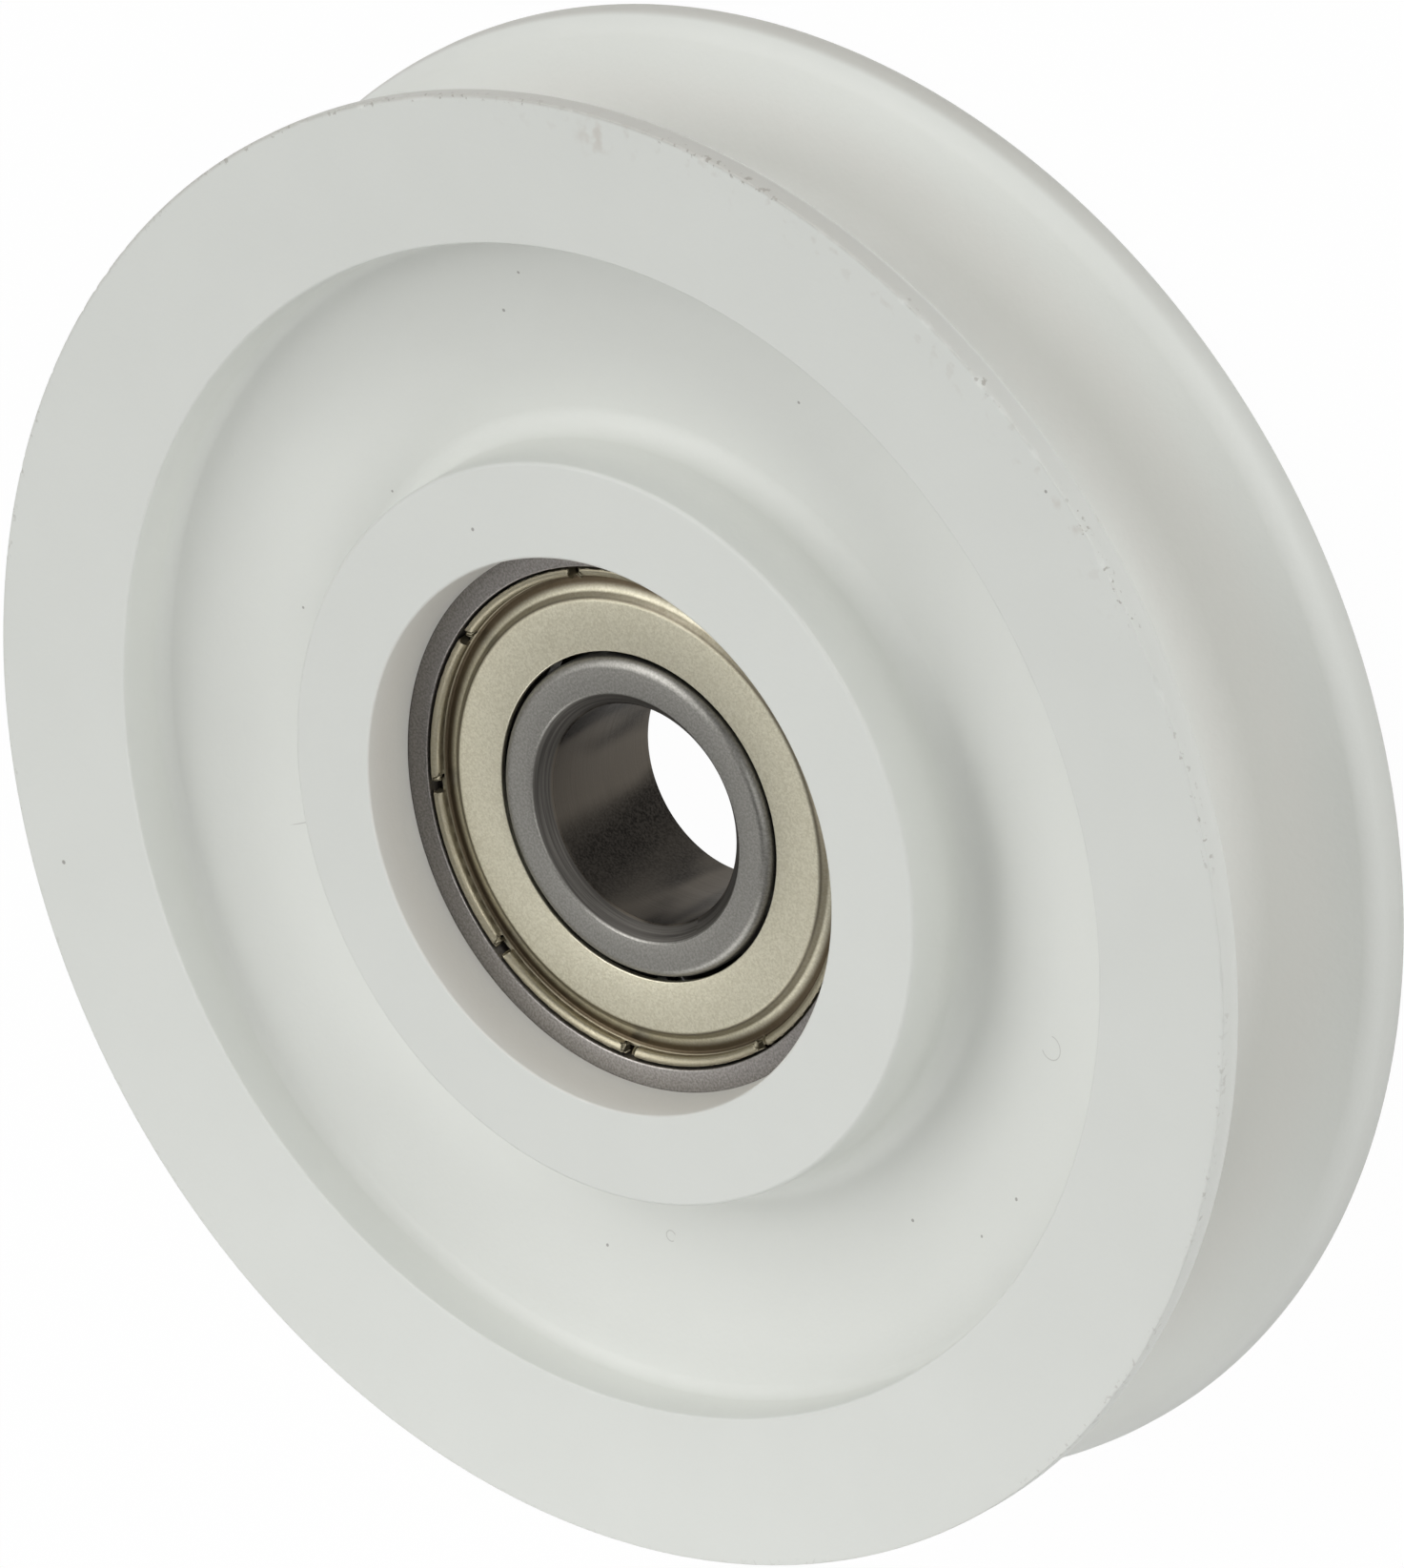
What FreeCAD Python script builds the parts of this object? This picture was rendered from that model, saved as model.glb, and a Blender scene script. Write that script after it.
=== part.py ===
import FreeCAD, Part
import math
import os
import Sketcher

# A rope pulley: a nylon sheave moulded round a shielded deep groove ball bearing. The part lies flat, with
# its axis along Z and the origin on that axis at the middle of the rope groove. Sizes are in millimetres.
SIZES = {
    # the sheave, one nylon moulding
    "flange_radius": 33.3,
    "flange_span": 12.8,
    "rim_land": 0.6,
    "rim_round": 1.4,
    "groove_root_radius": 26.6,
    "groove_round": 3.2,
    "trough_width": 9.75,
    "trough_draft": 0.15,
    "trough_outer_depth": 2.43,
    "trough_outer_round": 0.75,
    "trough_depth": 3.7,
    "dish_width": 3.85,
    "dish_round": 10.0,
    "hub_wall": 3.85,
    "hub_draft": 0.17,
    "hub_rise": 0.62,
    "hub_edge_rise": 0.3,
    "hub_edge_round": 0.2,
    "hub_foot_round": 1.15,
    "mouth_draft": 0.22,
    "lip_cover": 0.1,
    # the ball bearing, from its bore outwards
    "bearing_offset": 0.5,
    "bore_radius": 5.0,
    "bore_chamfer": 0.7,
    "inner_wall": 1.779,
    "inner_shoulder": 0.521,
    "inner_land_round": 0.5,
    "ball_radius": 2.381,
    "ball_count": 7,
    "ball_play": 0.015,
    "race_ease": 0.079,
    "outer_wall": 1.429,
    "outer_shoulder": 0.721,
    "outer_round": 0.5,
    "recess_width": 0.55,
    "recess_chamfer": 0.08,
    # the shields
    "shield_gap": 0.2,
    "shield_room": 0.639,
    "shield_inset": 0.25,
    "shield_sheet": 0.25,
    "shield_slope": 0.95,
    "valley_width": 0.1,
    "valley_depth": 0.7,
    "tab_width": 0.5,
    "tab_crest_inset": 0.08,
    "tab_round": 0.2,
    "tab_count": 9,
    "slot_width": 0.55,
    "slot_turn": 22.0,
    # the cage
    "cage_sheet": 0.4,
    "cage_play": 0.08,
    "cage_half_width": 0.825,
    "rivet_radius": 0.4,
    "rivet_play": 0.01,
    "rivet_head_radius": 0.75,
    "rivet_head_height": 0.3,
    "rivet_head_round": 0.2,
}

# Lengths that follow from the sizes, as expressions on the sheet.
RACE_FLOOR = "(Size.bore_radius + Size.inner_wall)"
INNER_LAND = f"({RACE_FLOOR} + Size.inner_shoulder)"
PITCH = f"({RACE_FLOOR} + Size.ball_play + Size.ball_radius)"
RACE_RADIUS = "(Size.ball_radius + Size.race_ease)"
OUTER_RADIUS = f"({PITCH} + Size.ball_radius + Size.ball_play + Size.outer_wall)"
OUTER_LAND = f"({OUTER_RADIUS} - Size.outer_wall - Size.outer_shoulder)"
RECESS_RADIUS = f"({OUTER_LAND} + Size.recess_width)"
RECESS_DEPTH = "(Size.valley_depth + Size.shield_sheet)"
CUP_RADIUS = "(Size.ball_radius + Size.cage_play + Size.cage_sheet)"
HALF_WIDTH = f"({CUP_RADIUS} + Size.shield_room + Size.shield_sheet + Size.shield_inset)"
CAGE_INNER = f"({PITCH} - Size.cage_half_width)"
CAGE_OUTER = f"({PITCH} + Size.cage_half_width)"
LIP_RADIUS = f"({OUTER_RADIUS} - Size.outer_round - Size.lip_cover)"
HUB_RADIUS = f"({OUTER_RADIUS} + Size.hub_wall)"

doc = FreeCAD.newDocument("rope_pulley")


def make_sheet():
    sheet = doc.addObject("Spreadsheet::Sheet", "Size")
    for row, (alias, value) in enumerate(SIZES.items(), start=1):
        sheet.set(f"A{row}", alias)
        sheet.set(f"B{row}", str(value))
        sheet.setAlias(f"B{row}", alias)
    doc.recompute()
    return sheet


size = make_sheet()


def corner(x, y, rounding=None):
    """A corner of an outline, sharp or rounded; x, y and rounding are expressions on the sheet."""
    return {"x": x, "y": y, "rounding": rounding, "turn": 0}


def bend(x, y, radius, turn):
    """An arc about the centre x, y that its two sides touch; turn is 1 to the left, -1 to the right."""
    return {"x": x, "y": y, "radius": radius, "turn": turn}


def value_of(expression):
    return float(size.evalExpression(expression))


def side_ends(first, second):
    """The ends of the side from one corner or bend to the next, and its direction."""
    gap = second["centre"] - first["centre"]
    lean = math.asin((second["signed"] - first["signed"]) / gap.Length)
    heading = math.atan2(gap.y, gap.x) - lean
    along = FreeCAD.Vector(math.cos(heading), math.sin(heading), 0)
    left = FreeCAD.Vector(-along.y, along.x, 0)
    return first["centre"] - left * first["signed"], second["centre"] - left * second["signed"], along


def arc_between(centre, radius, start, end):
    """The arc that runs counter-clockwise from start to end."""
    angles = [math.atan2(point.y - centre.y, point.x - centre.x) for point in (start, end)]
    if angles[1] < angles[0]:
        angles[1] += 2 * math.pi
    return Part.ArcOfCircle(Part.Circle(centre, FreeCAD.Vector(0, 0, 1), radius), *angles)


def bind(sketch, expression, *constraint):
    """Add a dimension whose value is the expression."""
    index = sketch.addConstraint(Sketcher.Constraint(*constraint, value_of(expression)))
    sketch.setExpression(f"Constraints[{index}]", expression)


def place_point(sketch, geometry, position, x, y):
    bind(sketch, x, "DistanceX", -1, 1, geometry, position)
    bind(sketch, y, "DistanceY", -1, 1, geometry, position)


def new_sketch(body, name, role="XZ_Plane"):
    sketch = body.newObject("Sketcher::SketchObject", name)
    plane = next(feature for feature in body.Origin.OriginFeatures if feature.Role == role)
    sketch.AttachmentSupport = (plane, [""])
    sketch.MapMode = "FlatFace"
    return sketch


def draw_outline(sketch, points):
    """Draw a closed outline, counter-clockwise, through corners and bends, and tie it to the sheet."""
    count = len(points)
    for point in points:
        point["centre"] = FreeCAD.Vector(value_of(point["x"]), value_of(point["y"]), 0)
        point["signed"] = point["turn"] * value_of(point["radius"]) if point["turn"] else 0.0
    sides = [side_ends(points[i], points[(i + 1) % count]) for i in range(count)]
    starts = [side[0] for side in sides]
    ends = [side[1] for side in sides]
    for i, point in enumerate(points):
        if point["turn"] or not point["rounding"]:
            continue
        before, after = sides[i - 1][2], sides[i][2]
        turn = math.atan2(before.x * after.y - before.y * after.x, before.dot(after))
        radius = value_of(point["rounding"])
        cut = radius * math.tan(abs(turn) / 2)
        ends[i - 1] = point["centre"] - before * cut
        starts[i] = point["centre"] + after * cut
        left = FreeCAD.Vector(-before.y, before.x, 0)
        point["arc_centre"] = ends[i - 1] + left * math.copysign(radius, turn)
        point["arc_turn"] = 1 if turn > 0 else -1
    lines = [sketch.addGeometry(Part.LineSegment(starts[i], ends[i]), False) for i in range(count)]
    for i, point in enumerate(points):
        before, after = lines[i - 1], lines[i]
        turn = point["turn"] or point.get("arc_turn", 0)
        if not turn:
            sketch.addConstraint(Sketcher.Constraint("Coincident", before, 2, after, 1))
            place_point(sketch, after, 1, point["x"], point["y"])
            continue
        centre = point["centre"] if point["turn"] else point["arc_centre"]
        radius = point["radius"] if point["turn"] else point["rounding"]
        first, last = (ends[i - 1], starts[i]) if turn > 0 else (starts[i], ends[i - 1])
        arc = sketch.addGeometry(arc_between(centre, value_of(radius), first, last), False)
        near, far = (1, 2) if turn > 0 else (2, 1)
        sketch.addConstraint(Sketcher.Constraint("Tangent", before, 2, arc, near))
        sketch.addConstraint(Sketcher.Constraint("Tangent", arc, far, after, 1))
        bind(sketch, radius, "Radius", arc)
        if point["turn"]:
            place_point(sketch, arc, 3, point["x"], point["y"])
        else:
            mark = sketch.addGeometry(Part.Point(point["centre"]), True)
            sketch.addConstraint(Sketcher.Constraint("PointOnObject", mark, 1, before))
            sketch.addConstraint(Sketcher.Constraint("PointOnObject", mark, 1, after))
            place_point(sketch, mark, 1, point["x"], point["y"])


def draw_circle(sketch, x, y, radius):
    centre = FreeCAD.Vector(value_of(x), value_of(y), 0)
    ring = sketch.addGeometry(Part.Circle(centre, FreeCAD.Vector(0, 0, 1), value_of(radius)), False)
    bind(sketch, radius, "Radius", ring)
    place_point(sketch, ring, 3, x, y)


def new_body(name, height="0"):
    """A body that carries its node's name, set at a height on the axis."""
    body = doc.addObject("PartDesign::Body", name)
    body.Label = name
    body.setExpression("Placement.Base.z", height)
    return body


def turn_outline(body, name, points, kind="PartDesign::Revolution"):
    """Turn an outline round the axis; as a groove it takes material away."""
    sketch = new_sketch(body, name + "_outline")
    draw_outline(sketch, points)
    return turn_sketch(body, name, sketch, kind)


def turn_sketch(body, name, sketch, kind):
    doc.recompute()
    feature = body.newObject(kind, name)
    feature.Profile = sketch
    feature.ReferenceAxis = (sketch, ["V_Axis"])
    feature.Angle = 360
    body.Tip = feature
    doc.recompute()
    return feature


def repeat(body, name, feature, count):
    """Repeat a feature round the axis."""
    pattern = body.newObject("PartDesign::PolarPattern", name)
    pattern.Originals = [feature]
    axis = next(part for part in body.Origin.OriginFeatures if part.Role == "Z_Axis")
    pattern.Axis = (axis, [""])
    pattern.Angle = 360
    pattern.setExpression("Occurrences", count)
    body.Tip = pattern
    doc.recompute()


def make_sheave():
    """The nylon moulding: both faces alike, the bearing held in the hub between two lips."""
    body = new_body("sheave")
    half = "Size.flange_span / 2"
    floor = f"({half} - Size.trough_depth)"
    wall_foot = f"({HUB_RADIUS} + Size.trough_width - Size.trough_draft)"

    def face(side):
        """One face from the hub's mouth out to the flange's edge."""
        return [
            corner(f"{LIP_RADIUS} + Size.mouth_draft", f"{side} * ({half} + Size.hub_rise)"),
            corner(HUB_RADIUS, f"{side} * ({half} + Size.hub_edge_rise)", "Size.hub_edge_round"),
            corner(f"{HUB_RADIUS} + Size.hub_draft", f"{side} * {floor}", "Size.hub_foot_round"),
            corner(f"{wall_foot} - Size.dish_width", f"{side} * {floor}", "Size.dish_round"),
            corner(wall_foot, f"{side} * ({half} - Size.trough_outer_depth)", "Size.trough_outer_round"),
            corner(f"{HUB_RADIUS} + Size.trough_width", f"{side} * {half}"),
            corner("Size.flange_radius", f"{side} * {half}"),
        ]

    rim_height = f"({half} - Size.rim_land)"
    groove = [
        bend("Size.flange_radius - Size.rim_round", f"-{rim_height}", "Size.rim_round", 1),
        bend("Size.groove_root_radius + Size.groove_round", "0", "Size.groove_round", -1),
        bend("Size.flange_radius - Size.rim_round", rim_height, "Size.rim_round", 1),
    ]
    top = f"Size.bearing_offset + {HALF_WIDTH}"
    bottom = f"Size.bearing_offset - {HALF_WIDTH}"
    seat = [
        corner(LIP_RADIUS, top),
        corner(OUTER_RADIUS, top, "Size.outer_round"),
        corner(OUTER_RADIUS, bottom, "Size.outer_round"),
        corner(LIP_RADIUS, bottom),
    ]
    turn_outline(body, "moulding", face(-1) + groove + face(1)[::-1] + seat)
    return body


def make_outer_ring():
    """The outer ring: a plain ring with a recess for each shield, and the ball race ground into it."""
    body = new_body("bearing_outer_ring", "Size.bearing_offset")

    def end(side):
        """One end of the ring from its land out to its outer corner."""
        return [
            corner(OUTER_LAND, f"{side} * ({HALF_WIDTH} - {RECESS_DEPTH})"),
            corner(RECESS_RADIUS, f"{side} * ({HALF_WIDTH} - {RECESS_DEPTH})"),
            corner(RECESS_RADIUS, f"{side} * ({HALF_WIDTH} - Size.recess_chamfer)"),
            corner(f"{RECESS_RADIUS} + Size.recess_chamfer", f"{side} * {HALF_WIDTH}"),
            corner(OUTER_RADIUS, f"{side} * {HALF_WIDTH}", "Size.outer_round"),
        ]

    turn_outline(body, "outer_blank", end(-1) + end(1)[::-1])
    race = new_sketch(body, "outer_race_section")
    draw_circle(race, f"{OUTER_RADIUS} - Size.outer_wall - {RACE_RADIUS}", "0", RACE_RADIUS)
    turn_sketch(body, "outer_race", race, "PartDesign::Groove")
    return body


def make_inner_ring():
    """The inner ring: chamfered bore, rounded shoulders and the ball race ground into it."""
    body = new_body("bearing_inner_ring", "Size.bearing_offset")

    def end(side):
        """One end of the ring from its bore out to its land."""
        return [
            corner("Size.bore_radius", f"{side} * ({HALF_WIDTH} - Size.bore_chamfer)"),
            corner("Size.bore_radius + Size.bore_chamfer", f"{side} * {HALF_WIDTH}"),
            corner(INNER_LAND, f"{side} * {HALF_WIDTH}", "Size.inner_land_round"),
        ]

    turn_outline(body, "inner_blank", end(-1) + end(1)[::-1])
    race = new_sketch(body, "inner_race_section")
    draw_circle(race, f"{RACE_FLOOR} + {RACE_RADIUS}", "0", RACE_RADIUS)
    turn_sketch(body, "inner_race", race, "PartDesign::Groove")
    return body


def make_shield(name, side):
    """A shield: flat by the inner ring, then a valley, and an edge curled up in tabs in the ring's recess."""
    body = new_body(name, "Size.bearing_offset")
    hole = f"{INNER_LAND} + Size.shield_gap"
    tab_inner = f"({RECESS_RADIUS} - Size.tab_width)"
    valley = f"({tab_inner} - Size.valley_width)"
    flat_edge = f"({valley} - Size.shield_slope)"

    def at(depth):
        """A height that lies so far below the ring's end face."""
        return f"{side} * ({HALF_WIDTH} - ({depth}))"

    points = [
        corner(hole, at("Size.shield_inset + Size.shield_sheet")),
        corner(f"{flat_edge} - Size.shield_sheet", at("Size.shield_inset + Size.shield_sheet")),
        corner(f"{valley} - Size.shield_sheet", at(RECESS_DEPTH)),
        corner(RECESS_RADIUS, at(RECESS_DEPTH)),
        corner(RECESS_RADIUS, at("Size.tab_crest_inset"), "Size.tab_round"),
        corner(tab_inner, at("Size.tab_crest_inset"), "Size.tab_round"),
        corner(tab_inner, at("Size.valley_depth - Size.shield_sheet")),
        corner(valley, at("Size.valley_depth")),
        corner(flat_edge, at("Size.shield_inset")),
        corner(hole, at("Size.shield_inset")),
    ]
    turn_outline(body, name + "_sheet", points if side > 0 else points[::-1])
    sketch = new_sketch(body, name + "_slot_outline", "XY_Plane")
    inner = f"{tab_inner} - Size.slot_width / 2"
    outer = f"{RECESS_RADIUS} + Size.slot_width"
    draw_outline(sketch, [
        corner(inner, "-Size.slot_width / 2"),
        corner(outer, "-Size.slot_width / 2"),
        corner(outer, "Size.slot_width / 2"),
        corner(inner, "Size.slot_width / 2"),
    ])
    doc.recompute()
    uncut = body.Shape.Volume
    slot = body.newObject("PartDesign::Pocket", name + "_slot")
    slot.Profile = sketch
    slot.Type = "Length"
    slot.Reversed = side > 0
    slot.setExpression("Length", HALF_WIDTH)
    body.Tip = slot
    doc.recompute()
    if slot.Shape.Volume >= uncut:
        raise RuntimeError(name + ": the slot cuts nothing")
    repeat(body, name + "_slots", slot, "Size.tab_count")
    body.setExpression("Placement.Rotation.Angle", "Size.slot_turn * 1 deg")
    return body


def make_cage_half(name, side):
    """Half of the cage: a flat ribbon pressed into a cup round one side of each ball."""
    body = new_body(name, "Size.bearing_offset")
    flat = [
        corner(CAGE_INNER, "0"),
        corner(CAGE_OUTER, "0"),
        corner(CAGE_OUTER, f"{side} * Size.cage_sheet"),
        corner(CAGE_INNER, f"{side} * Size.cage_sheet"),
    ]
    turn_outline(body, name + "_ribbon", flat if side > 0 else flat[::-1])
    cup = body.newObject("PartDesign::AdditiveSphere", name + "_cup")
    cup.setExpression("Radius", CUP_RADIUS)
    cup.setExpression("Placement.Base.x", PITCH)
    body.Tip = cup
    doc.recompute()
    repeat(body, name + "_cups", cup, "Size.ball_count")
    low, high = f"-{HALF_WIDTH}", HALF_WIDTH
    trims = {
        "outside": (CAGE_OUTER, OUTER_RADIUS, low, high),
        "inside": ("Size.bore_radius", CAGE_INNER, low, high),
        "beyond": ("Size.bore_radius", OUTER_RADIUS, *((low, "0") if side > 0 else ("0", high))),
    }
    for trim, (inner, outer, bottom, top) in trims.items():
        outline = [corner(inner, bottom), corner(outer, bottom), corner(outer, top), corner(inner, top)]
        turn_outline(body, f"{name}_{trim}", outline, "PartDesign::Groove")
    pocket = body.newObject("PartDesign::SubtractiveSphere", name + "_pocket")
    pocket.setExpression("Radius", "Size.ball_radius + Size.cage_play")
    pocket.setExpression("Placement.Base.x", PITCH)
    body.Tip = pocket
    doc.recompute()
    repeat(body, name + "_pockets", pocket, "Size.ball_count")
    sketch = new_sketch(body, name + "_rivet_hole_outline", "XY_Plane")
    halfway = "180 deg / Size.ball_count"
    draw_circle(sketch, f"{PITCH} * cos({halfway})", f"{PITCH} * sin({halfway})",
                "Size.rivet_radius + Size.rivet_play")
    doc.recompute()
    hole = body.newObject("PartDesign::Pocket", name + "_rivet_hole")
    hole.Profile = sketch
    hole.Type = "ThroughAll"
    hole.Midplane = True
    body.Tip = hole
    doc.recompute()
    repeat(body, name + "_rivet_holes", hole, "Size.ball_count")
    return body


def set_on_pitch(part, step):
    """Stand a piece on the pitch circle, so many ball spacings from the X axis."""
    part.setExpression("Placement.Base.x", f"{PITCH} * cos({step} * 360 deg / Size.ball_count)")
    part.setExpression("Placement.Base.y", f"{PITCH} * sin({step} * 360 deg / Size.ball_count)")
    part.setExpression("Placement.Base.z", "Size.bearing_offset")


def make_ball(number):
    ball = doc.addObject("Part::Sphere", f"ball_{number}")
    ball.Label = f"ball_{number}"
    ball.setExpression("Radius", "Size.ball_radius")
    set_on_pitch(ball, number - 1)
    return ball


def make_rivet(number):
    """A rivet through both ribbons, halfway between two balls."""
    name = f"cage_rivet_{number}"
    body = new_body(name)
    top = "(Size.cage_sheet + Size.rivet_head_height)"
    turn_outline(body, name + "_blank", [
        corner("0", f"-{top}"),
        corner("Size.rivet_head_radius", f"-{top}", "Size.rivet_head_round"),
        corner("Size.rivet_head_radius", "-Size.cage_sheet"),
        corner("Size.rivet_radius", "-Size.cage_sheet"),
        corner("Size.rivet_radius", "Size.cage_sheet"),
        corner("Size.rivet_head_radius", "Size.cage_sheet"),
        corner("Size.rivet_head_radius", top, "Size.rivet_head_round"),
        corner("0", top),
    ])
    set_on_pitch(body, f"({number} - 0.5)")
    return body


def check_and_write(nodes):
    """Stop on a failed feature or a bad solid, then write one file for each piece."""
    doc.recompute()
    for item in doc.Objects:
        if "Invalid" in item.State or "Error" in item.State:
            raise RuntimeError(f"{item.Name} failed: {item.State}")
    os.makedirs("parts", exist_ok=True)
    for node in nodes:
        if node.Shape.isNull() or not node.Shape.isValid():
            raise RuntimeError(f"{node.Label} has no sound solid")
        node.Shape.exportStep(f"parts/{node.Label}.step")
        print(f"{node.Label}: {len(node.Shape.Solids)} solid, {node.Shape.Volume:.2f} mm3")


numbers = range(1, int(value_of("Size.ball_count")) + 1)
nodes = [
    make_sheave(),
    make_outer_ring(),
    make_inner_ring(),
    make_shield("front_shield", 1),
    make_shield("back_shield", -1),
    make_cage_half("front_cage_half", 1),
    make_cage_half("back_cage_half", -1),
]
nodes += [make_ball(number) for number in numbers]
nodes += [make_rivet(number) for number in numbers]
check_and_write(nodes)
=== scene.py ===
import math

import bmesh
import bpy
from mathutils import Matrix, Vector, noise


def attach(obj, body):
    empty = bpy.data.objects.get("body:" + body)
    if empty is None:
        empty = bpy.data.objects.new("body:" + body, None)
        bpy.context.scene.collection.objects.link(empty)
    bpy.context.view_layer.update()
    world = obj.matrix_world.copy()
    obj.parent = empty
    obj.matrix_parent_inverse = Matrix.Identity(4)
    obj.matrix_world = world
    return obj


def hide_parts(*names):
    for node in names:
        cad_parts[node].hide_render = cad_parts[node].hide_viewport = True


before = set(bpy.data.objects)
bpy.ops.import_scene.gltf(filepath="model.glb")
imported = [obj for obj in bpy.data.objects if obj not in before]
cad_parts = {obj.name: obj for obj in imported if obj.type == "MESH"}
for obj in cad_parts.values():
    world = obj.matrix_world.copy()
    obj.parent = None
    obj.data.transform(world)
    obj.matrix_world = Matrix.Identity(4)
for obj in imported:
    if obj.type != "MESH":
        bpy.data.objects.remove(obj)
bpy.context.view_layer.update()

# The sheave: one moulding of white nylon with a rope groove round its rim and a shallow dished trough in
# each face. It is moulded round the ball bearing, which a thin lip holds at each end of the hub.
MM = 0.001
HALF_FLANGE = 6.4
FLANGE_RADIUS = 33.299
RIM_LAND = 0.6
RIM_ROUND = 1.4
RIM_CORNERS = {1: 0.05, -1: 0.22}
GROOVE_ROOT = 26.6
GROOVE_ROUND = 3.2
GROOVE_STEPS = 20
TROUGH_RADIUS = 26.6
TROUGH_WALL_FOOT = (26.45, HALF_FLANGE - 2.43)
TROUGH_FLOOR = HALF_FLANGE - 3.7
DISH_START = 22.6
HUB_RADIUS = 16.85
HUB_FOOT = 17.02
HUB_RISE = 0.62
HUB_EDGE_RISE = 0.3
MOUTH_RADIUS = 12.62
LIP_RADIUS = 12.4
SEAT_RADIUS = 13.0
BEARING_MIDDLE = 0.5
BEARING_HALF = 4.0
CHIP_REACH = 0.36
CHIP_ROWS = 6


def draw_outline(mesh, corners):
    """Joins corners (radius, height, rounding, steps of the rounding) in a closed loop in the XZ plane."""
    points = [mesh.verts.new((radius * MM, 0, height * MM)) for radius, height, *_ in corners]
    for first, second in zip(points, points[1:] + points[:1]):
        mesh.edges.new((first, second))
    for point, (_, _, *rounding) in zip(points, corners):
        if rounding:
            radius, steps = rounding
            before, after = (edge.other_vert(point).co - point.co for edge in point.link_edges)
            reach = radius * MM / math.tan(before.angle(after) / 2)
            bmesh.ops.bevel(mesh, geom=[point], offset=reach, offset_type="OFFSET", affect="VERTICES",
                            segments=steps, profile=0.5, material=-1)


def turn(mesh, steps):
    """Turns all that the mesh holds once round the axis and closes it."""
    bmesh.ops.spin(mesh, geom=mesh.verts[:] + mesh.edges[:], cent=(0, 0, 0), axis=(0, 0, 1),
                   angle=math.tau, steps=steps, use_merge=True)
    bmesh.ops.recalc_face_normals(mesh, faces=mesh.faces)


def finish_piece(mesh, name, surface, body, node):
    """Makes the mesh a smooth shaded piece that stands for its CAD node and moves with its body."""
    data = bpy.data.meshes.new(name)
    mesh.to_mesh(data)
    mesh.free()
    data.shade_smooth()
    data.materials.append(surface.material)
    piece = bpy.data.objects.new(name, data)
    bpy.context.scene.collection.objects.link(piece)
    weighted = piece.modifiers.new("flat faces stay flat", "WEIGHTED_NORMAL")
    weighted.weight = 100
    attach(piece, body)
    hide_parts(node)
    return piece


class Field:
    """A number, colour or vector that varies over a surface; arithmetic on it adds Math nodes."""

    def __init__(self, surface, socket):
        self.surface = surface
        self.socket = socket

    def math(self, operation, *values):
        sockets = dict(enumerate(values))
        return self.surface.node("ShaderNodeMath", {"operation": operation}, sockets)

    def __add__(self, other):
        return self.math("ADD", self, other)

    __radd__ = __add__

    def __sub__(self, other):
        return self.math("SUBTRACT", self, other)

    def __rsub__(self, other):
        return self.math("SUBTRACT", other, self)

    def __mul__(self, other):
        return self.math("MULTIPLY", self, other)

    __rmul__ = __mul__

    def __truediv__(self, other):
        return self.math("DIVIDE", self, other)

    def __pow__(self, other):
        return self.math("POWER", self, other)

    def rise(self, low, high):
        """0 below low, 1 above high and a smooth step between; low may be the larger."""
        settings = {"interpolation_type": "SMOOTHSTEP"}
        if low < high:
            return self.surface.node("ShaderNodeMapRange", settings, {0: self, 1: low, 2: high})
        return self.surface.node("ShaderNodeMapRange", settings, {0: self, 1: high, 2: low, 3: 1.0, 4: 0.0})

    def band(self, low, high, soft):
        """1 between low and high, with soft edges."""
        return self.rise(low - soft, low + soft) * self.rise(high + soft, high - soft)


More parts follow.
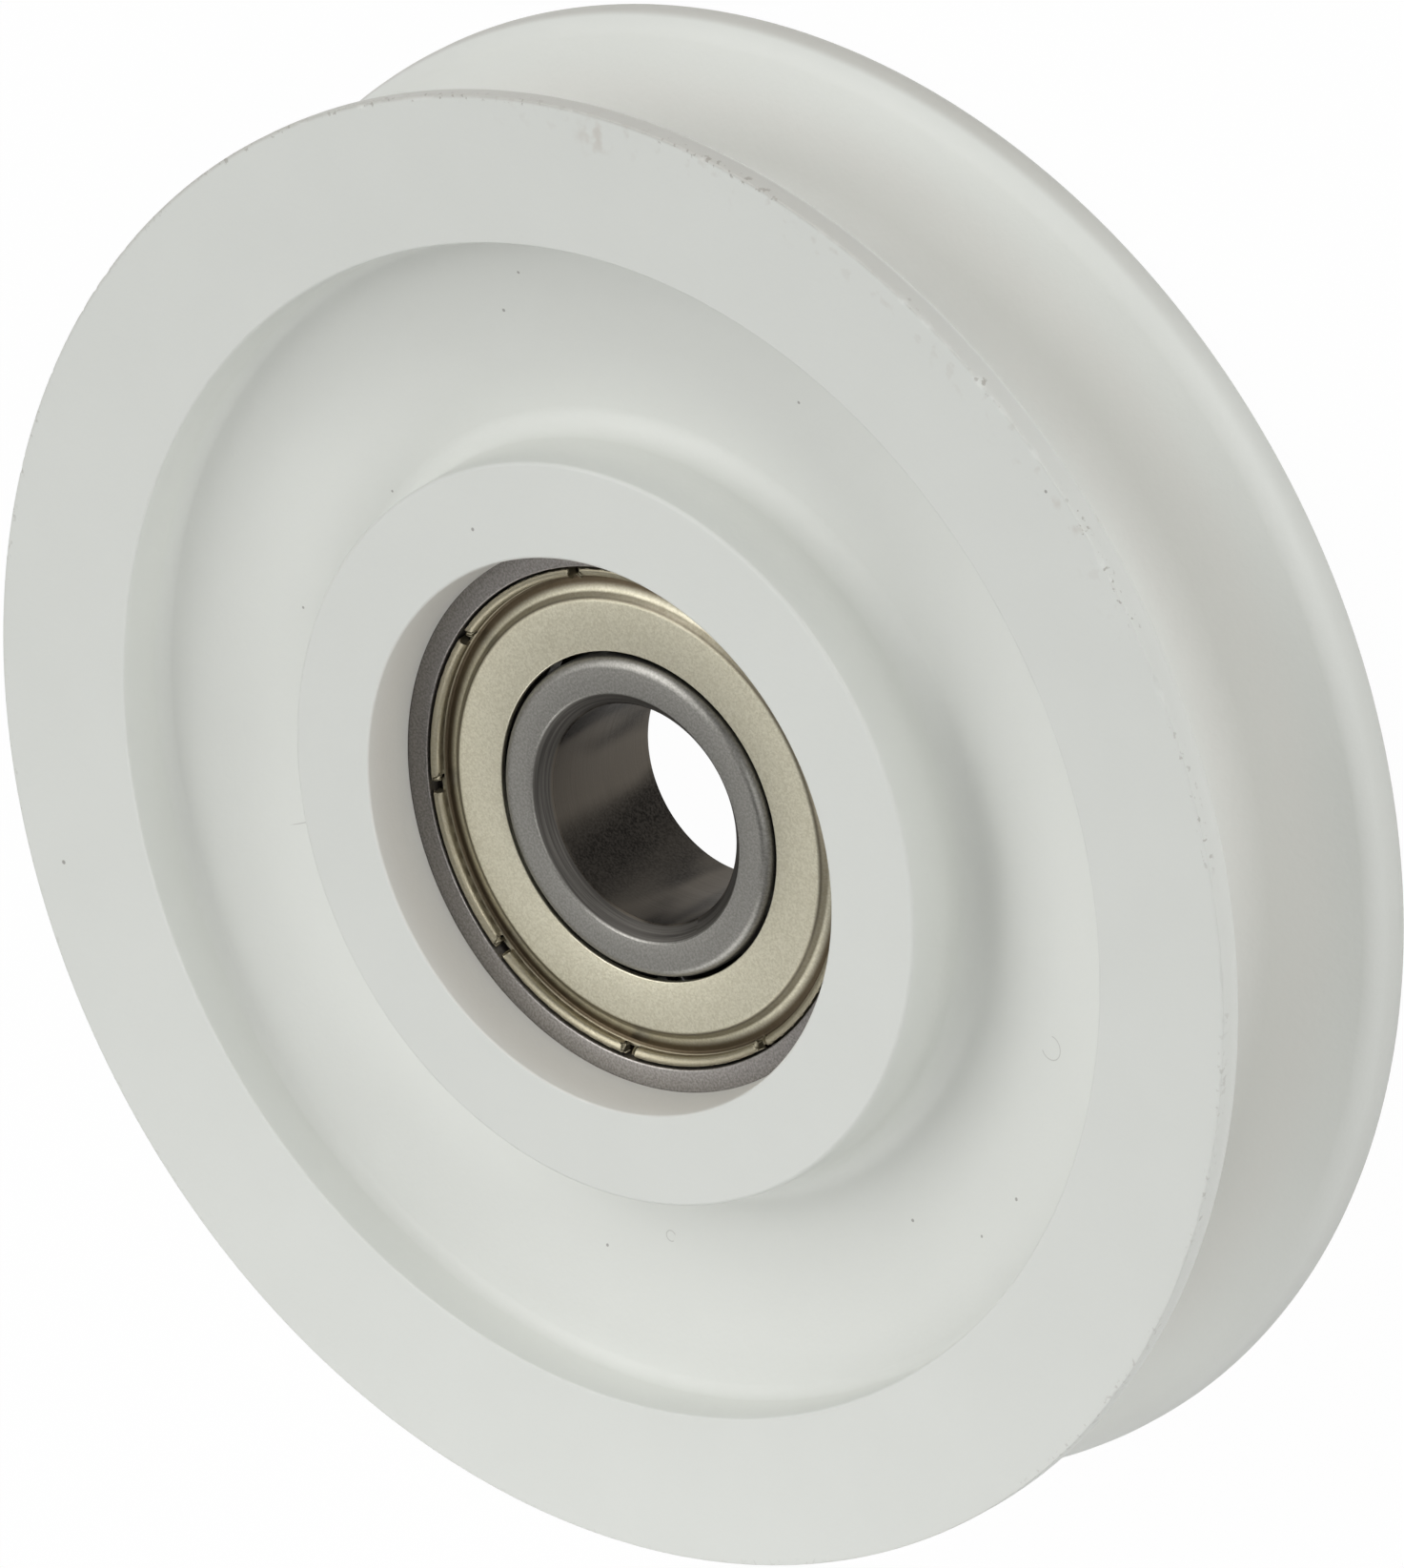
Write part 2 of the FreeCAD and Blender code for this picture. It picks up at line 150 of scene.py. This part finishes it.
class Surface:
    """A procedural finish: its node method adds any node, and the others are the patterns that pieces share."""

    def __init__(self, name, constants):
        self.material = bpy.data.materials.new(name)
        self.material.use_nodes = True
        self.nodes = self.material.node_tree.nodes
        self.shader = self.nodes["Principled BSDF"]
        for socket, value in constants.items():
            self.shader.inputs[socket].default_value = value
        self.point = self.node("ShaderNodeTexCoord", {}, {}, "Object")
        self.x, self.y, self.z = (self.node("ShaderNodeSeparateXYZ", {}, {0: self.point}, axis) / MM
                                  for axis in "XYZ")
        self.radius = (self.x * self.x + self.y * self.y) ** 0.5

    def node(self, kind, settings, sockets, output=0):
        node = self.nodes.new(kind)
        for setting, value in settings.items():
            setattr(node, setting, value)
        for socket, value in sockets.items():
            self.feed(node.inputs[socket], value)
        return Field(self, node.outputs[output])

    def feed(self, socket, value):
        if isinstance(value, Field):
            self.material.node_tree.links.new(value.socket, socket)
        else:
            socket.default_value = value

    def mix(self, share, first, second):
        """A colour that goes from first to second as share goes from 0 to 1."""
        return self.node("ShaderNodeMix", {"data_type": "RGBA"}, {0: share, 6: first, 7: second}, 2)

    def grain(self, size, detail=2.0, at=None):
        """Soft noise about 0.5 whose spots are about size millimetres."""
        sockets = {"Vector": at or self.point, "Scale": 1 / (size * MM), "Detail": detail}
        return self.node("ShaderNodeTexNoise", {}, sockets)

    def azimuth(self):
        """The angle round the axis, in turns from -0.5 to 0.5."""
        return self.x.math("ARCTAN2", self.y, self.x) / math.tau

    def towards(self, degrees):
        """1 on the side that lies in this direction from the axis, and 0 on the side across."""
        turned = math.radians(degrees)
        return 0.5 + 0.5 * (self.x * math.cos(turned) + self.y * math.sin(turned)) / self.radius

    def around(self, turns, outward, upward):
        """A place for patterns that run round the axis; the three are the pattern's scales."""
        sockets = {"X": self.azimuth() * turns, "Y": self.radius * outward, "Z": self.z * upward}
        return self.node("ShaderNodeCombineXYZ", {}, sockets)

    def relief(self, height, depth):
        """Lets the height, 0 to 1, shape the surface, depth millimetres deep."""
        sockets = {"Height": height, "Distance": depth * MM, "Strength": 1.0}
        bump = self.node("ShaderNodeBump", {}, sockets, "Normal")
        self.feed(self.shader.inputs["Normal"], bump)


nylon = Surface("white_nylon", {"IOR": 1.53})
ragged = nylon.grain(0.32, 3.0)
patches = nylon.grain(5.0)
fine = nylon.grain(0.7)
body_colour = nylon.mix(patches, (0.66, 0.675, 0.64, 1), (0.69, 0.705, 0.67, 1))
seat = nylon.radius.rise(12.75, 12.55)
body_colour = nylon.mix(seat * 0.45, body_colour, (0.63, 0.585, 0.54, 1))
groove = nylon.radius.rise(32.0, 30.0) * nylon.radius.rise(26.7, 27.5) * nylon.z.rise(5.0, 4.0)
body_colour = nylon.mix(groove * 0.4, body_colour, (0.67, 0.64, 0.605, 1))
# Painted light: all that lies sunk more than about 2 mm below the faces, the troughs and the groove, is painted
# paler, standing in for the light that bounces round in these hollows and passes through the nylon.
painted_bounce_light = nylon.z.math("ABSOLUTE", nylon.z).rise(6.2, 4.5)
body_colour = nylon.mix(painted_bounce_light * 0.3, body_colour, (0.82, 0.83, 0.79, 1))
# The rim's trimmed lands are a little darker all round and much darker on one side, and rough handling has
# nicked the front one, most of all on another side.
LAND_DARKER_TOWARDS = -25
WORN_TOWARDS = -60
worn = nylon.towards(WORN_TOWARDS)
land = nylon.radius.rise(33.1, 33.28)
land_darkening = 0.08 + 0.5 * nylon.towards(LAND_DARKER_TOWARDS).rise(0.72, 1.0)
body_colour = nylon.mix(land * land_darkening, body_colour, (0.42, 0.4, 0.36, 1))
corner = nylon.radius.rise(33.0, 33.15) * nylon.z.rise(5.9, 6.15)
nicks = corner * ragged.rise(0.58, 0.64) * (0.12 + 0.88 * worn) * patches.rise(0.4, 0.55)
body_colour = nylon.mix(nicks * 0.65, body_colour, (0.3, 0.275, 0.24, 1))
face = nylon.z.rise(6.3, 6.38)
smears = face * nylon.radius.rise(31.2, 33.0) * worn.rise(0.85, 1.0) * fine.rise(0.58, 0.72)
body_colour = nylon.mix(smears * 0.2, body_colour, (0.42, 0.36, 0.31, 1))
plan = nylon.node("ShaderNodeCombineXYZ", {}, {"X": nylon.x, "Y": nylon.y})


def away_from(x, y):
    """The distance in millimetres from a place on the front, seen from the front."""
    return nylon.node("ShaderNodeVectorMath", {"operation": "DISTANCE"}, {0: plan, 1: (x, y, 0)}, "Value")


# Dirt that lies in the moulding's skin: specks and brown smudges, each with its place in x and y and its
# size, and fine hairs, each an arc with its centre, radius, middle direction in degrees and half angle.
SPECKS = [
    (21.94, -5.44, 0.16), (23.07, -7.64, 0.14), (12.55, -18.4, 0.15), (-20.79, -1.97, 0.16),
    (9.72, 29.95, 0.2), (14.21, -1.69, 0.17), (14.68, 13.58, 0.13), (-21.98, -8.35, 0.17),
    (-22.73, -5.48, 0.14), (-15.79, 14.94, 0.15), (17.32, 5.6, 0.12), (4.3, -32.3, 0.16),
]
SMUDGES = [(26.6, -18.3, 2.6), (3.7, -32.5, 0.8), (2.1, -32.9, 0.9), (-1.5, -32.9, 0.5)]
HAIRS = [(-16.88, -14.05, 0.55, 200, 120), (-16.68, 11.32, 0.25, 40, 140), (13.0, 18.2, 6.7, 170, 7)]
front = nylon.z.rise(0.0, 1.0)
marks = 0.0
for x, y, size in SPECKS:
    marks = away_from(x, y).rise(0.6 * size, 0.35 * size) + marks
for x, y, radius, middle, half in HAIRS:
    line = away_from(x, y).band(radius - 0.02, radius + 0.02, 0.025)
    turned = math.radians(middle)
    ahead = (nylon.x - x) * math.cos(turned) + (nylon.y - y) * math.sin(turned)
    ends = radius * math.cos(math.radians(half))
    marks = line * ahead.rise(ends - 0.03, ends + 0.03) * 0.6 + marks
body_colour = nylon.mix(marks * front * 0.55, body_colour, (0.09, 0.07, 0.055, 1))
smudged = 0.0
for x, y, size in SMUDGES:
    smudged = away_from(x, y).rise(0.5 * size, 0.1 * size) + smudged
smudged = smudged * front * fine.rise(0.4, 0.62)
body_colour = nylon.mix(smudged * 0.22, body_colour, (0.36, 0.26, 0.19, 1))
nylon.feed(nylon.shader.inputs["Base Color"], body_colour)
nylon.feed(nylon.shader.inputs["Roughness"], 0.46 + 0.16 * fine)
nylon.relief(ragged, 0.012)

# The groove's straight flanks touch its round bottom and the round edge of the flange's land.
rise = HALF_FLANGE - RIM_LAND
reach = FLANGE_RADIUS - RIM_ROUND - GROOVE_ROOT - GROOVE_ROUND
rim_lean = math.atan2(rise, reach) - math.asin((GROOVE_ROUND + RIM_ROUND) / math.hypot(rise, reach))
groove_point = GROOVE_ROOT + GROOVE_ROUND - GROOVE_ROUND / math.sin(rim_lean)
rim_corner = (FLANGE_RADIUS - groove_point) * math.tan(rim_lean)
groove_turn = math.pi - 2 * rim_lean
groove_angles = [math.pi / 2 + rim_lean + groove_turn * step / GROOVE_STEPS for step in range(GROOVE_STEPS + 1)]
groove_bottom = [(GROOVE_ROOT + GROOVE_ROUND * (1 + math.cos(angle)), GROOVE_ROUND * math.sin(angle))
                 for angle in groove_angles]


def sheave_face(side):
    """One face's corners from the hub's mouth out to the rim, with close rows of points where it is chipped."""
    rows = [CHIP_REACH * (row + 1) / CHIP_ROWS for row in range(CHIP_ROWS if side > 0 else 0)]
    return [
        (LIP_RADIUS, BEARING_MIDDLE + side * BEARING_HALF, 0.05, 2),
        (MOUTH_RADIUS, side * (HALF_FLANGE + HUB_RISE), 0.12, 4),
        (HUB_RADIUS, side * (HALF_FLANGE + HUB_EDGE_RISE), 0.2, 5),
        (HUB_FOOT, side * TROUGH_FLOOR, 1.15, 8),
        (DISH_START, side * TROUGH_FLOOR, 10.0, 6),
        (TROUGH_WALL_FOOT[0], side * TROUGH_WALL_FOOT[1], 0.75, 6),
        (TROUGH_RADIUS, side * HALF_FLANGE, 0.12, 4),
        *((FLANGE_RADIUS - row, side * HALF_FLANGE) for row in reversed(rows)),
        (FLANGE_RADIUS, side * HALF_FLANGE, RIM_CORNERS[side], 3),
        *((FLANGE_RADIUS, side * (HALF_FLANGE - row)) for row in rows[:-1]),
        (FLANGE_RADIUS, side * rim_corner, RIM_ROUND, 8),
    ]


def chip_rim(mesh):
    """Divides the front flange's outer corner finely all round and nibbles small ragged chips out of it."""
    def lies_in_corner(vertex):
        across = FLANGE_RADIUS - vertex.co.xy.length / MM
        down = HALF_FLANGE - vertex.co.z / MM
        return across + down < CHIP_REACH + 0.02

    around = [edge for edge in mesh.edges
              if all(map(lies_in_corner, edge.verts)) and abs(edge.verts[0].co.z - edge.verts[1].co.z) < 1e-7
              and abs(edge.verts[0].co.xy.length - edge.verts[1].co.xy.length) < 1e-7]
    bmesh.ops.subdivide_edges(mesh, edges=around, cuts=2, use_grid_fill=True)
    for vertex in filter(lies_in_corner, mesh.verts):
        flat = vertex.co.xy
        across = FLANGE_RADIUS - flat.length / MM
        down = HALF_FLANGE - vertex.co.z / MM
        turned = math.atan2(flat.y, flat.x)
        place = Vector((math.cos(turned), math.sin(turned), 0.1)) * FLANGE_RADIUS
        patch = max(0.0, noise.noise(place / 3.0) + 0.2)
        nibble = max(0.0, noise.noise(place / 0.5) + 0.4 * noise.noise(place / 0.2))
        wear = 0.5 + 0.5 * math.cos(turned - math.radians(WORN_TOWARDS))
        chip = (0.06 + 0.94 * wear ** 2) * (0.04 + 0.9 * patch * nibble)
        cut = max(0.0, min(chip, CHIP_REACH) - across - down) / 2 * MM
        vertex.co.xy = flat * (1 - cut / flat.length)
        vertex.co.z -= cut


sheave = bmesh.new()
draw_outline(sheave, [
    *sheave_face(1),
    *groove_bottom,
    *reversed(sheave_face(-1)),
    (SEAT_RADIUS, BEARING_MIDDLE - BEARING_HALF, 0.5, 3),
    (SEAT_RADIUS, BEARING_MIDDLE + BEARING_HALF, 0.5, 3),
])
turn(sheave, 480)
chip_rim(sheave)
finish_piece(sheave, "nylon_sheave", nylon, "sheave", "sheave")

# The bearing's rings: hardened steel, turned and then ground, so that fine lines run round every face. The
# outer ring is held in the sheave, and each end has a recess for a shield.
OUTER_LAND = 10.85
RECESS_RADIUS = 11.4
RECESS_DEPTH = 0.95
RACE_RADIUS = 2.46
OUTER_RACE_FLOOR = 11.571
BORE_RADIUS = 5.0
BORE_CHAMFER = 0.7
BORE_SHADOW_TOWARDS = 100
GLINT_TOWARDS = 140


def ground_steel(name, shade, tint, glint):
    """Grey steel with fine lines round the axis and a salt-and-pepper grain; the bore is painted much darker,
    standing in for its shade and dark reflections, with painted reflections in streaks along the axis and a
    painted shadow on one side.

    Where the lines would catch the light, on two opposite sides, a painted sheen lightens the colour; across
    them the colour is painted darker by twice the glint.
    """
    steel = Surface(name, {"Metallic": 1.0})
    lines = steel.grain(1.0, 3.0, steel.around(0.006, 9e-3, 9e-3))
    salt = steel.grain(0.11, 3.0)
    # Painted sheen: the colour is lighter where the turned lines would catch the light and darker across them.
    across = steel.towards(GLINT_TOWARDS) * 2 - 1
    painted_sheen = across * across * 2 - 1
    colour = steel.mix(lines * 0.35 + salt.rise(0.3, 0.7) * 0.65, shade, tint)
    colour = steel.mix(glint * (1 - painted_sheen), colour, (0, 0, 0, 1))
    # Painted reflection and shade in the bore: dark streaks along the axis, and a near-black painted shadow on
    # one side.
    reflection_streaks = steel.grain(1.0, 2.0, steel.around(0.009, 0.0, 8e-5))
    painted_bore = steel.mix(reflection_streaks.rise(0.4, 0.58), (0.02, 0.017, 0.014, 1), (0.14, 0.122, 0.1, 1))
    painted_bore = steel.mix(steel.towards(BORE_SHADOW_TOWARDS).rise(0.93, 0.99) * 0.8, painted_bore, (0.012, 0.01, 0.008, 1))
    painted_bore = steel.mix(salt.rise(0.3, 0.7) * 0.3, painted_bore, (0.13, 0.117, 0.1, 1))
    inside = steel.radius.rise(BORE_RADIUS + BORE_CHAMFER - 0.04, BORE_RADIUS + BORE_CHAMFER - 0.1)
    turned_steel = steel.mix(lines.rise(0.35, 0.65), (0.075, 0.07, 0.064, 1), (0.14, 0.132, 0.12, 1))
    colour = steel.mix(inside, colour, turned_steel)
    colour = steel.mix(steel.radius.rise(BORE_RADIUS + 0.12, BORE_RADIUS + 0.04), colour, painted_bore)
    steel.feed(steel.shader.inputs["Base Color"], colour)
    steel.feed(steel.shader.inputs["Roughness"], 0.32 + 0.2 * lines + 0.14 * inside)
    steel.relief(lines * 0.4 + salt * 0.6, 0.006)
    return steel


def draw_race(corners, floor, land, outward):
    """Puts the ball race into the side of a ring that faces the balls, as short chords of its circle."""
    centre = floor - outward * RACE_RADIUS
    reach = math.acos((land - centre) * outward / RACE_RADIUS)
    steps = 16
    angles = [reach * (1 - 2 * step / steps) for step in range(steps + 1)]
    corners += [(centre + outward * RACE_RADIUS * math.cos(angle),
                 BEARING_MIDDLE + RACE_RADIUS * math.sin(angle)) for angle in angles]


def ring_height(side, depth=0.0):
    return BEARING_MIDDLE + side * (BEARING_HALF - depth)


outer_steel = ground_steel("ground_outer_ring", (0.232, 0.216, 0.202, 1), (0.463, 0.438, 0.414, 1), 0.16)
outer_corners = [
    (SEAT_RADIUS, ring_height(-1), 0.5, 6),
    (SEAT_RADIUS, ring_height(1), 0.5, 6),
    (RECESS_RADIUS, ring_height(1), 0.08, 3),
    (RECESS_RADIUS, ring_height(1, RECESS_DEPTH), 0.05, 2),
    (OUTER_LAND, ring_height(1, RECESS_DEPTH), 0.05, 2),
]
draw_race(outer_corners, OUTER_RACE_FLOOR, OUTER_LAND, 1)
outer_corners += [
    (OUTER_LAND, ring_height(-1, RECESS_DEPTH), 0.05, 2),
    (RECESS_RADIUS, ring_height(-1, RECESS_DEPTH), 0.05, 2),
    (RECESS_RADIUS, ring_height(-1), 0.08, 3),
]
outer_ring = bmesh.new()
draw_outline(outer_ring, outer_corners)
turn(outer_ring, 360)
finish_piece(outer_ring, "outer_ring", outer_steel, "sheave", "bearing_outer_ring")

# The inner ring: the same steel, with a wide chamfer at each end of the bore and round shoulders. The axle
# clamps it, so it stays still while the sheave turns.
INNER_LAND = 7.3
INNER_RACE_FLOOR = 6.779

inner_steel = ground_steel("ground_inner_ring", (0.228, 0.222, 0.203, 1), (0.366, 0.356, 0.33, 1), 0.0)
inner_corners = [
    (BORE_RADIUS, ring_height(1, BORE_CHAMFER), 0.04, 2),
    (BORE_RADIUS + BORE_CHAMFER, ring_height(1), 0.04, 2),
    (INNER_LAND, ring_height(1), 0.5, 8),
]
draw_race(inner_corners, INNER_RACE_FLOOR, INNER_LAND, -1)
inner_corners += [
    (INNER_LAND, ring_height(-1), 0.5, 8),
    (BORE_RADIUS + BORE_CHAMFER, ring_height(-1), 0.04, 2),
    (BORE_RADIUS, ring_height(-1, BORE_CHAMFER), 0.04, 2),
]
inner_ring = bmesh.new()
draw_outline(inner_ring, inner_corners)
turn(inner_ring, 360)
finish_piece(inner_ring, "inner_ring", inner_steel, "inner_ring", "bearing_inner_ring")

# The shields: two pressed rings of plated sheet. Each lies flat by the inner ring, slopes down to a valley,
# and its edge is curled up in nine narrow tabs that grip the recess of the outer ring.
SHIELD_HOLE = 7.5
SHIELD_INSET = 0.25
SHEET = 0.25
FLAT_EDGE = 9.85
VALLEY_RADIUS = 10.8
VALLEY_DEPTH = 0.7
TAB_INNER = 10.9
TAB_CREST_INSET = 0.08
TAB_OUTER = RECESS_RADIUS - 0.1
TAB_COUNT = 9
SLOT_WIDTH = 0.55
SLOT_TURN = math.radians(22)

plate = Surface("plated_sheet", {"Metallic": 1.0})
plate_speck = plate.grain(0.1, 3.0)
plate_colour = plate.mix(plate_speck.rise(0.3, 0.7), (0.595, 0.56, 0.43, 1), (0.72, 0.688, 0.55, 1))
sunk = BEARING_HALF - (plate.z - BEARING_MIDDLE).math("ABSOLUTE", plate.z - BEARING_MIDDLE)
# Painted shade: the sheet is painted darker where the flat bends down at its edge, with a darker line in the
# bend.
painted_fold_shade = plate.radius.band(FLAT_EDGE - 0.04, FLAT_EDGE + 0.32, 0.08)
painted_crease_shade = plate.radius.band(FLAT_EDGE + 0.01, FLAT_EDGE + 0.1, 0.05)
plate_colour = plate.mix(painted_fold_shade * 0.55, plate_colour, (0.13, 0.1, 0.06, 1))
plate_colour = plate.mix(painted_crease_shade * 0.6, plate_colour, (0.06, 0.045, 0.03, 1))
curled = plate.radius.rise(10.82, 10.88)
plate_colour = plate.mix(curled * 0.6, plate_colour, (0.2, 0.165, 0.1, 1))
# Painted shade: the deep valley and the tabs' feet, more than about half a millimetre into the recess, are
# painted dark brown.
plate_colour = plate.mix(sunk.rise(0.5, 0.64) * 0.95, plate_colour, (0.07, 0.048, 0.026, 1))
plate.feed(plate.shader.inputs["Base Color"], plate_colour)
plate.feed(plate.shader.inputs["Roughness"], 0.34 + 0.2 * plate.grain(0.3, 3.0))
plate.relief(plate_speck, 0.01)


def make_shield(name, side, node):
    shield = bmesh.new()
    draw_outline(shield, [
        (SHIELD_HOLE, ring_height(side, SHIELD_INSET), 0.06, 3),
        (FLAT_EDGE, ring_height(side, SHIELD_INSET), 0.35, 5),
        (FLAT_EDGE + 0.3, ring_height(side, SHIELD_INSET + 0.25), 0.35, 5),
        (VALLEY_RADIUS, ring_height(side, VALLEY_DEPTH), 0.1, 3),
        (TAB_INNER + 0.06, ring_height(side, VALLEY_DEPTH - SHEET)),
        (TAB_INNER + 0.12, ring_height(side, RECESS_DEPTH)),
        (VALLEY_RADIUS - SHEET, ring_height(side, RECESS_DEPTH)),
        (FLAT_EDGE - SHEET, ring_height(side, SHIELD_INSET + SHEET)),
        (SHIELD_HOLE, ring_height(side, SHIELD_INSET + SHEET)),
    ])
    turn(shield, 360)
    between = math.tau / TAB_COUNT
    half_slot = SLOT_WIDTH / (TAB_INNER + RECESS_RADIUS)
    for number in range(TAB_COUNT):
        tab = bmesh.new()
        draw_outline(tab, [
            (TAB_INNER, ring_height(side, RECESS_DEPTH)),
            (TAB_INNER, ring_height(side, TAB_CREST_INSET), 0.28, 6),
            (TAB_OUTER, ring_height(side, TAB_CREST_INSET), 0.1, 4),
            (TAB_OUTER, ring_height(side, RECESS_DEPTH)),
        ])
        start = side * SLOT_TURN + number * between + half_slot
        bmesh.ops.rotate(tab, verts=tab.verts, matrix=Matrix.Rotation(start, 3, "Z"))
        first = tab.edges[:]
        spun = bmesh.ops.spin(tab, geom=tab.verts[:] + first, cent=(0, 0, 0), axis=(0, 0, 1),
                              angle=between - 2 * half_slot, steps=36)
        last = [item for item in spun["geom_last"] if isinstance(item, bmesh.types.BMEdge)]
        ends = [bmesh.ops.contextual_create(tab, geom=edges)["faces"][0] for edges in (first, last)]
        rims = [edge for end in ends for edge in end.edges]
        bmesh.ops.bevel(tab, geom=rims, offset=0.1 * MM, offset_type="OFFSET", affect="EDGES",
                        segments=3, profile=0.5, material=-1)
        bmesh.ops.recalc_face_normals(tab, faces=tab.faces)
        made = bpy.data.meshes.new("tab")
        tab.to_mesh(made)
        tab.free()
        shield.from_mesh(made)
        bpy.data.meshes.remove(made)
    finish_piece(shield, name, plate, "sheave", node)


make_shield("shield_front", 1, "front_shield")
make_shield("shield_back", -1, "back_shield")

# The balls and their cage lie behind the shields: polished steel balls in two halves of pressed strip,
# which are riveted together between them.
polished = Surface("polished_balls", {"Metallic": 1.0})
polished.feed(polished.shader.inputs["Base Color"],
              polished.mix(polished.grain(1.5), (0.55, 0.55, 0.54, 1), (0.62, 0.62, 0.61, 1)))
polished.feed(polished.shader.inputs["Roughness"], 0.06 + 0.08 * polished.grain(0.4, 3.0))
strip = Surface("pressed_strip", {"Metallic": 1.0})
strip.feed(strip.shader.inputs["Base Color"],
           strip.mix(strip.grain(0.6, 3.0), (0.4, 0.38, 0.34, 1), (0.52, 0.5, 0.45, 1)))
strip.feed(strip.shader.inputs["Roughness"], 0.3 + 0.2 * strip.grain(0.25, 3.0))
strip.relief(strip.grain(0.2, 3.0), 0.01)
for name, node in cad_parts.items():
    if name.startswith("ball_"):
        node.data.materials.clear()
        node.data.materials.append(polished.material)
    elif "cage" in name:
        node.data.materials.clear()
        node.data.materials.append(strip.material)

# The floor: a wide sheet of white paper under the pulley. It shows plain white behind it, as the photograph
# does, and keeps only a faint shadow.
FLOOR_HEIGHT = -(HALF_FLANGE + HUB_RISE)
FLOOR_HALF = 2000.0
FLOOR_WHITE = 0.98


def white_for_camera(surface, shade, share):
    """Mixes plain white into the shader for rays from the camera, mirrors and glass."""
    path = surface.node("ShaderNodeLightPath", {}, {}, "Is Camera Ray")
    glossy = surface.node("ShaderNodeLightPath", {}, {}, "Is Glossy Ray")
    through = surface.node("ShaderNodeLightPath", {}, {}, "Is Transmission Ray")
    seen = path.math("MAXIMUM", path.math("MAXIMUM", path, glossy), through)
    glow = surface.node("ShaderNodeEmission", {}, {"Color": (1, 1, 1, 1), "Strength": 1.0})
    return surface.node("ShaderNodeMixShader", {}, {0: seen * share, 1: shade, 2: glow})


paper = Surface("white_paper", {"Roughness": 0.9})
paper.feed(paper.shader.inputs["Base Color"],
           paper.mix(paper.grain(30.0), (0.78, 0.78, 0.78, 1), (0.8, 0.8, 0.8, 1)))
paper_shade = Field(paper, paper.shader.outputs[0])
paper.feed(paper.nodes["Material Output"].inputs["Surface"], white_for_camera(paper, paper_shade, FLOOR_WHITE))
floor = bmesh.new()
bmesh.ops.create_grid(floor, x_segments=1, y_segments=1, size=FLOOR_HALF * MM,
                      matrix=Matrix.Translation((0, 0, FLOOR_HEIGHT * MM)))
floor_data = bpy.data.meshes.new("floor")
floor.to_mesh(floor_data)
floor.free()
floor_data.materials.append(paper.material)
floor_piece = bpy.data.objects.new("floor", floor_data)
bpy.context.scene.collection.objects.link(floor_piece)

# Soft studio light: seven wide lamps a metre from the pulley, each with its direction round the axis and above
# the floor and its power in watts, a small lamp close by the far left side, and a dim pale room.
ROOM_LIGHT = 0.12
WIDE_LAMPS = [
    ("low_right_lamp", -90, 12, 3.9),
    ("low_back_lamp", -150, 12, 1.76),
    ("front_lamp", 0, 32, 2.38),
    ("front_high_lamp", 0, 55, 2.06),
    ("left_high_lamp", 40, 55, 2.1),
    ("back_high_lamp", -120, 55, 1.38),
    ("left_lamp", 90, 46, 0.52),
]
world = bpy.data.worlds.new("pale_room")
bpy.context.scene.world = world
world.use_nodes = True
background = world.node_tree.nodes["Background"]
background.inputs["Color"].default_value = (1, 1, 1, 1)
background.inputs["Strength"].default_value = ROOM_LIGHT


def add_lamp(name, azimuth, elevation, distance, width, power):
    lamp = bpy.data.lights.new(name, "AREA")
    lamp.shape = "DISK"
    lamp.size = width
    lamp.energy = power
    holder = bpy.data.objects.new(name, lamp)
    turned, raised = math.radians(azimuth), math.radians(elevation)
    direction = Vector((math.cos(turned) * math.cos(raised), math.sin(turned) * math.cos(raised),
                        math.sin(raised)))
    holder.location = direction * distance
    holder.rotation_mode = "QUATERNION"
    holder.rotation_quaternion = direction.to_track_quat("Z", "Y")
    holder.visible_camera = False
    bpy.context.scene.collection.objects.link(holder)


for name, azimuth, elevation, power in WIDE_LAMPS:
    add_lamp(name, azimuth, elevation, 1.0, 0.6, power)
add_lamp("near_lamp", 140, 35, 0.12, 0.08, 0.037)

# The camera looks down at 46 degrees with a long lens, and is rolled as the photographer held it. It aims a
# little below the middle, because a near camera draws the far rim in and the near rim out.
CAMERA_ELEVATION = math.radians(45.98)
CAMERA_ROLL = math.radians(207.4)
CAMERA_DISTANCE = 2.0
CAMERA_DROP = 0.13
FRAME_HEIGHT = 0.0674
SENSOR = 36.0
back = Vector((0, -math.cos(CAMERA_ELEVATION), math.sin(CAMERA_ELEVATION)))
across = Vector((1, 0, 0))
lift = Vector((0, math.sin(CAMERA_ELEVATION), math.cos(CAMERA_ELEVATION)))
right = math.cos(CAMERA_ROLL) * lift + math.sin(CAMERA_ROLL) * across
up = math.sin(CAMERA_ROLL) * lift - math.cos(CAMERA_ROLL) * across
camera = bpy.data.cameras.new("camera")
camera.sensor_width = SENSOR
camera.lens = SENSOR * CAMERA_DISTANCE / FRAME_HEIGHT
camera.clip_start = 0.1
camera.clip_end = 10.0
camera_holder = bpy.data.objects.new("camera", camera)
axes = Matrix((right, up, back)).transposed().to_4x4()
camera_holder.matrix_world = Matrix.Translation(back * CAMERA_DISTANCE - lift * CAMERA_DROP * MM) @ axes
bpy.context.scene.collection.objects.link(camera_holder)
bpy.context.scene.camera = camera_holder
bpy.context.scene.view_settings.view_transform = "Standard"
